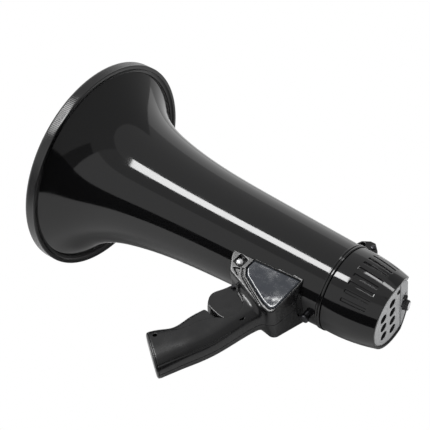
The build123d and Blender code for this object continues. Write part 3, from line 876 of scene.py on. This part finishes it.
def end_at_foot(body, grip, x, z):
    """Stop at the foot cap, with a seam above it."""
    foot = foot_field(x, z)
    body = smooth_max(body, foot, 3.0)
    seam = np.maximum(np.abs(foot + FOOT_CAP) - 0.25, -(grip + 0.5))
    return np.maximum(smooth_max(body, -seam, 0.3), foot + FOOT_CAP)


def handle_field(side):
    """Field of one half of the handle; side is 1 on the left and -1 on the right."""
    def field(x, y, z):
        grip = shouldered_grip(x, y, z)
        body = with_bracket(grip, x, y, z)
        body = cut_trigger_room(body, x, y, z)
        body = cut_plate_recess(body, x, y, z)
        body = cut_screw_pocket(body, x, y, z, side)
        body = cut_back_lines(body, grip, x, y, z)
        body = cut_holes(body, x, y, z, side)
        body = end_at_foot(body, grip, x, z)
        body = np.maximum(body, FIT_GAP - horn_field(x, y, z))
        return smooth_max(body, 0.06 - side * y, 0.4)
    return field


def square_field(u, v, centre, half):
    """Square, turned to stand along the bracket's front edge."""
    a = (u - centre[0]) * math.cos(POCKET_TURN) + (v - centre[1]) * math.sin(POCKET_TURN)
    b = (v - centre[1]) * math.cos(POCKET_TURN) - (u - centre[0]) * math.sin(POCKET_TURN)
    return smooth_max(np.abs(a) - half, np.abs(b) - half, 1.5)


def make_handle():
    for side, name, node_name in ((1, "handle_left_moulding", "handle_left"),
                                  (-1, "handle_right_moulding", "handle_right")):
        low_y, high_y = sorted((-side * 1.2, side * 34.0))
        low = (-297, low_y, -190)
        high = (-178, high_y, -18)
        half = field_mesh(name, handle_field(side), low, high, HANDLE_STEP)
        finish_piece(half, BODY, [node_name], "handle_black")

    def cap_field(x, y, z):
        shape = smooth_max(grip_field(x, y, z), foot_field(x, z), 3.0)
        shape = np.maximum(shape, -foot_field(x, z) - FOOT_CAP + FIT_GAP)
        return smooth_max(shape, -cylinder_field(x, z, LANYARD, LANYARD_R), 0.5)
    cap = field_mesh("handle_foot", cap_field, (-240, -20, -191), (-178, 20, -142), 0.45)
    finish_piece(cap, BODY, ["handle_foot_cap"], "handle_black")


def make_plates():
    """Bevelled plates on the bracket's sides."""
    for side, name, node_name in ((1, "side_plate_left_bevelled", "side_plate_left"),
                                  (-1, "side_plate_right_bevelled", "side_plate_right")):
        def field(x, y, z):
            outer = polygon_field(x, z, PLATE_OUTLINE, 1.2)
            skin = (np.abs(y) - side_width(z) - PLATE_STAND * (SIDE_TOP[0] - z)) * SIDE_LEAN
            bevel = (outer + skin + 1.3) * 0.7071
            shape = smooth_max(np.maximum(outer, skin), bevel, 0.3)
            shape = np.maximum(shape, -skin - PLATE_THICK)
            shape = np.maximum(shape, FIT_GAP - horn_field(x, y, z))
            return np.maximum(shape, -side * y)
        low_y, high_y = sorted((side * 18.0, side * 34.0))
        plate = field_mesh(name, field, (-294, low_y, -74.5), (-228, high_y, -29), FINE_STEP)
        finish_piece(plate, BODY, [node_name], "smoke_plate")


def side_matrix(x, y, z, side):
    """Matrix of a place on a flank, with Z pointing out of it."""
    return Matrix(((1, 0, 0, x), (0, 0, side, y), (0, -side, 0, z), (0, 0, 0, 1)))


def domed_screw(radius, height, x, y, z, side):
    """Plain domed head."""
    profile = [(0, -0.6), (radius, -0.6), (radius, 0.2)]
    for a in np.linspace(0.15, 1, 9) * math.pi / 2:
        profile.append((radius * math.cos(a), 0.2 + (height - 0.2) * math.sin(a)))
    profile[-1] = (0, height)
    return turned(profile, 64, side_matrix(x, y, z, side))


def make_screws():
    heads = [domed_screw(SCREW_HEAD_R, 3.0, SCREW[0], s * SCREW_SEAT_Y, SCREW[1], s) for s in (1, -1)]
    screws = merged("bracket_screw_heads", heads)
    finish_piece(crisp(screws, 50), BODY, ["bracket_screws"], "silver_screw")
    heads = [domed_screw(3.0, 1.7, x, HANDLE_SCREW_Y, z, -1) for x, z in HANDLE_SCREWS]
    finish_piece(crisp(merged("handle_screw_heads", heads), 50), BODY, ["handle_screws"], "dark_steel")


# ================================================================ trigger
TRIGGER_OUTLINE = [(-228.5, -62), (-223.3, -72.9), (-218.1, -80.5), (-216.8, -84.3), (-217.2, -88.8),
                   (-219.8, -94.2), (-223.5, -98.5), (-243, -103), (-254, -98), (-257.5, -88), (-256, -79),
                   (-247, -70.5), (-238, -62), (-233, -61.3)]
TRIGGER_HOLLOW = [(-223.5, -77), (-225, -91), (-242, -98), (-262, -93), (-262, -72), (-240, -72)]
TRIGGER_HALF_Y = 13.5
TRIGGER_WALL = 2.2
TRIGGER_CROWN = 1.8               # how much lower the front is at both flanks


def make_trigger():
    """Crowned shell: its front is lower towards both flanks."""
    def field(x, y, z):
        crown = TRIGGER_CROWN * (np.abs(y) / TRIGGER_HALF_Y) ** 2
        shape = outline_field(x + 1.0 + crown * 0.85, z - crown * 0.35, softened(TRIGGER_OUTLINE, 1))
        shape = smooth_max(shape, np.abs(y) - TRIGGER_HALF_Y, 1.2)
        inner = np.maximum(outline_field(x, z, TRIGGER_HOLLOW), np.abs(y) - TRIGGER_HALF_Y + TRIGGER_WALL)
        shape = np.maximum(shape, -inner)
        shape = np.maximum(shape, -cylinder_field(x, z, PIVOT, PIN_HOLE_R + FIT_GAP))
        spring_room = np.maximum(np.abs(x + 233.7) - 7.2, np.maximum(np.abs(y) - 6, -74 - z))
        return np.maximum(shape, -spring_room)
    trigger = field_mesh("trigger_shell", field, (-259, -14.4, -105), (-214, 14.4, -59), 0.45)
    finish_piece(trigger, "trigger", ["trigger"], "trigger_black")


# ================================================================ strap fixings
LUG_OUTLINE = [(-296, 40), (-296, 47), (-300, 55.5), (-308, 60.2), (-313.5, 60.2), (-320.5, 53),
               (-320.5, 47.2), (-311.5, 47), (-311.5, 40)]


def make_strap_fixings():
    def field(x, y, z):
        shape = smooth_max(outline_field(x, z, LUG_OUTLINE), np.abs(y) - 6.0, 0.8)
        shape = smooth_max(shape, -cylinder_field(x, z, (-303.5, 52.3), 2.5), 1.0)
        return np.maximum(shape, FIT_GAP - horn_field(x, y, z))
    lug = field_mesh("strap_lug_moulding", field, (-322, -7, 39), (-294, 7, 62), FINE_STEP)
    finish_piece(lug, BODY, ["strap_lug"], "gloss_black")
    head = merged("strap_lug_screw_head", [domed_screw(3.0, 2.0, -314.5, 6.05, 54.3, 1)])
    finish_piece(crisp(head, 50), BODY, ["strap_lug_screw"], "dark_steel")

    down = Matrix(((1, 0, 0, -305), (0, -1, 0, 0), (0, 0, -1, 0), (0, 0, 0, 1)))
    profile = [(0, 44.6), (4.0, 44.6), (4.0, 49.8), (4.15, 50.3), (4.6, 50.6), (4.8, 51.0), (4.8, 52.2),
               (4.6, 52.8), (4.1, 53.1), (3.0, 53.2), (0, 53.2)]
    post = merged("strap_post_turned", [turned(profile, 64, down)])
    finish_piece(crisp(post, 50), BODY, ["strap_post"], "dark_steel")


# ================================================================ driver in the horn's throat
DOME_R = 34.0
DOME_WALL = 2.2


def make_driver():
    """Domed cover that shows through the mouth."""
    r, inner_r = DOME_R, DOME_R - DOME_WALL
    outer = [(-38 - 24 * (1 - math.cos(t)), min(2 + (r - 2) * math.sin(t), r))
             for t in np.linspace(0, math.pi / 2, 24)]
    outer += [(-87.4, r), (-88, r - 0.6)]
    inner = [(-88, inner_r), (-62, inner_r)]
    inner += [(-40.4 - 21.6 * (1 - math.cos(t)), inner_r * math.sin(t)) for t in np.linspace(1.5, 0.04, 16)]
    cover = lathe("driver_dome", outer + inner, segments=160)
    finish_piece(cover, BODY, ["driver_cover"], "dark_plastic")


def finish_cad_nodes():
    """Inner pieces keep the CAD's shape and take their slot's material."""
    for name, obj in frame["nodes"].items():
        obj.data.materials.clear()
        obj.data.materials.append(MATS[SLOT_OF[name]])
        obj.data.shade_smooth()
        obj.data.set_sharp_from_angle(angle=math.radians(28))


# ================================================================ stage, lights and camera
def table_axes():
    """Two directions in the table: along the horn, and towards the camera."""
    along = (HORN_AXIS - HORN_AXIS.dot(TABLE_UP) * TABLE_UP).normalized()
    across = TABLE_UP.cross(along)
    if across.dot(CAMERA_PLACE - CAMERA_TARGET) < 0:
        across = -across
    return along, across


def stage_quad(name, centre, u, v, half_u, half_v, mat):
    """Rectangle whose front faces u x v, or the table's up side if that points down."""
    if u.cross(v).dot(TABLE_UP) < 0:
        u = -u
    corners = [centre + a * half_u * u + b * half_v * v for a, b in ((-1, -1), (1, -1), (1, 1), (-1, 1))]
    mesh = bpy.data.meshes.new(name)
    mesh.from_pydata([tuple(c) for c in corners], [], [(0, 1, 2, 3)])
    mesh.materials.append(mat)
    obj = bpy.data.objects.new(name, mesh)
    bpy.context.scene.collection.objects.link(obj)
    return obj


def one_sided(name, grey):
    """Stage material that can't be seen from behind."""
    mat = bpy.data.materials.new(name)
    mat.use_nodes = True
    tree = mat.node_tree
    shader = tree.nodes["Principled BSDF"]
    shader.inputs["Base Color"].default_value = (grey, grey, grey, 1)
    shader.inputs["Roughness"].default_value = 0.9
    shader.inputs["Specular IOR Level"].default_value = 0.0
    clear = tree.nodes.new("ShaderNodeBsdfTransparent")
    mix = tree.nodes.new("ShaderNodeMixShader")
    side = tree.nodes.new("ShaderNodeNewGeometry")
    tree.links.new(side.outputs["Backfacing"], mix.inputs["Fac"])
    tree.links.new(shader.outputs["BSDF"], mix.inputs[1])
    tree.links.new(clear.outputs["BSDF"], mix.inputs[2])
    tree.links.new(mix.outputs["Shader"], tree.nodes["Material Output"].inputs["Surface"])
    return mat


TABLE_WHITE = 0.55
TABLE_EDGE = (-0.044, 0.262)      # (along the horn, towards the camera) of a point on the table's near edge
TABLE_EDGE_TURN = math.radians(23.0)


def make_stage():
    """White table that ends near the object, on the camera's side, with a dark room beyond its edge."""
    along, across = table_axes()
    base = -TABLE_UP * TABLE_DROP
    white = one_sided("table_white", TABLE_WHITE)
    table = stage_quad("table", base, along, across, 12, 12, white)
    table.visible_camera = False

    edge_along = math.cos(TABLE_EDGE_TURN) * along + math.sin(TABLE_EDGE_TURN) * across
    edge_out = math.cos(TABLE_EDGE_TURN) * across - math.sin(TABLE_EDGE_TURN) * along
    depth = 4.0
    middle = base + TABLE_EDGE[0] * along + TABLE_EDGE[1] * across + edge_out * depth + TABLE_UP * 0.002
    black = one_sided("room_dark", 0.01)
    dark = stage_quad("dark_room", middle, edge_along, edge_out, 6.0, depth, black)
    unseen(dark)
    make_room(base, along, across)


def unseen(obj):
    """Show a stage piece in reflections alone."""
    for ray in ("camera", "diffuse", "shadow", "transmission"):
        setattr(obj, "visible_" + ray, False)


# each wall: (from, to) bearing from the camera's side towards the horn's mouth, (low, high) elevation, glow
ROOM_WALLS = {
    "wall_bright": ((-46, 30), (-4, 36), 0.78),
    "wall_above": ((-46, 30), (36, 58), 0.50),
    "wall_gap": ((-62, -46), (-4, 30), 0.14),
    "wall_rear": ((-175, -62), (-4, 62), 0.36),
    "wall_rear_top": ((-62, -46), (30, 62), 0.36),
}
ROOM_RADIUS = 3.2
CEILING_HEIGHT = 5.2
CEILING_GLOW = 0.62


def make_room(base, along, across):
    """Walls and a ceiling of the dim room round the table, seen only as reflections."""
    for name, ((start, end), (low, high), glow) in ROOM_WALLS.items():
        steps = 12
        corners = []
        for i in range(steps + 1):
            bearing = math.radians(start + (end - start) * i / steps)
            out = math.cos(bearing) * across + math.sin(bearing) * along
            for lift in (low, high):
                corners.append(base + ROOM_RADIUS * (out + math.tan(math.radians(lift)) * TABLE_UP))
        faces = [(2 * i, 2 * i + 1, 2 * i + 3, 2 * i + 2) for i in range(steps)]
        mesh = bpy.data.meshes.new(name)
        mesh.from_pydata([tuple(c) for c in corners], [], faces)
        mesh.materials.append(glowing(name, glow))
        wall = bpy.data.objects.new(name, mesh)
        bpy.context.scene.collection.objects.link(wall)
        unseen(wall)
    overhead = base + CEILING_HEIGHT * TABLE_UP
    ceiling = stage_quad("ceiling", overhead, along, across, 6, 6, glowing("ceiling", CEILING_GLOW))
    unseen(ceiling)


def glowing(name, strength):
    mat = bpy.data.materials.new(name)
    mat.use_nodes = True
    shader = mat.node_tree.nodes["Principled BSDF"]
    shader.inputs["Base Color"].default_value = (0, 0, 0, 1)
    shader.inputs["Specular IOR Level"].default_value = 0.0
    shader.inputs["Emission Color"].default_value = (1, 1, 1, 1)
    shader.inputs["Emission Strength"].default_value = strength
    return mat


def soft_box(name, place, target, width, length, watts):
    """Area light at place, facing target, its length along the horn."""
    data = bpy.data.lights.new(name, "AREA")
    data.shape = "RECTANGLE"
    data.size, data.size_y = length, width
    data.energy = watts
    light = bpy.data.objects.new(name, data)
    bpy.context.scene.collection.objects.link(light)
    back = (place - target).normalized()
    x_axis = (HORN_AXIS - HORN_AXIS.dot(back) * back).normalized()
    y_axis = back.cross(x_axis)
    rotation = Matrix((x_axis, y_axis, back)).transposed()
    light.matrix_world = Matrix.Translation(place) @ rotation.to_4x4()
    light.visible_camera = False
    return light


REAR_STRIP_X = -0.35
REAR_STRIP_ANGLE = math.radians(61.0)   # up the flank from the side that faces the camera
REAR_STRIP_AWAY = 0.7
REAR_STRIP_WIDTH = 0.10
REAR_STRIP_LENGTH = 0.26
REAR_STRIP_WATTS = 0.75
REAR_STRIP_SHOWS_ON = ("rear_cover_shell", "joint_ring_band", "strap_lug_moulding", "grille_plate",
                       "control_plate")
STRIP_ANGLE = math.radians(23.3)
STRIP_AWAY = 1.332
STRIP_REAR_X = 0.0
STRIP_LENGTH = 1.6
STRIP_WIDTH = 0.30
STRIP_WATTS = 28.0


def beside_horn(x, away, angle):
    """Place beside the horn's axis, at an angle up from the side that faces the camera."""
    roll = angle - CAMERA_SIDE_ROLL
    return Vector((x, away * math.cos(roll), away * math.sin(roll)))


def make_lights():
    """A long soft box over the camera-side flank, a short one for the cover, and a white surround."""
    world = bpy.data.worlds.new("studio")
    world.use_nodes = True
    world.node_tree.nodes["Background"].inputs["Color"].default_value = (1, 1, 1, 1)
    world.node_tree.nodes["Background"].inputs["Strength"].default_value = 1.0
    bpy.context.scene.world = world

    middle_x = STRIP_REAR_X + STRIP_LENGTH / 2
    place = beside_horn(middle_x, STRIP_AWAY, STRIP_ANGLE)
    soft_box("strip", place, Vector((middle_x, 0, 0)), STRIP_WIDTH, STRIP_LENGTH, STRIP_WATTS)

    place = beside_horn(REAR_STRIP_X, REAR_STRIP_AWAY, REAR_STRIP_ANGLE)
    target = Vector((REAR_STRIP_X, 0, 0))
    strip = soft_box("rear_strip", place, target, REAR_STRIP_WIDTH, REAR_STRIP_LENGTH, REAR_STRIP_WATTS)
    lit = bpy.data.collections.new("rear_strip_lights")
    for name in REAR_STRIP_SHOWS_ON:
        lit.objects.link(bpy.data.objects[name])
    strip.light_linking.receiver_collection = lit


def make_camera():
    data = bpy.data.cameras.new("camera")
    data.lens = CAMERA_LENS
    data.sensor_width = CAMERA_SENSOR
    camera = bpy.data.objects.new("camera", data)
    bpy.context.scene.collection.objects.link(camera)
    back = (CAMERA_PLACE - CAMERA_TARGET).normalized()
    right = CAMERA_UP.cross(back).normalized()
    up = back.cross(right)
    camera.matrix_world = Matrix.Translation(CAMERA_PLACE) @ Matrix((right, up, back)).transposed().to_4x4()
    bpy.context.scene.camera = camera


finish_cad_nodes()
make_bell()
make_rim()
make_joint_ring()
make_cover()
make_grille()
make_control_panel()
make_jack()
make_knob()
make_slider()
make_handle()
make_plates()
make_screws()
make_trigger()
make_strap_fixings()
make_driver()
make_stage()
make_lights()
make_camera()

bpy.context.scene.view_settings.view_transform = "Standard"
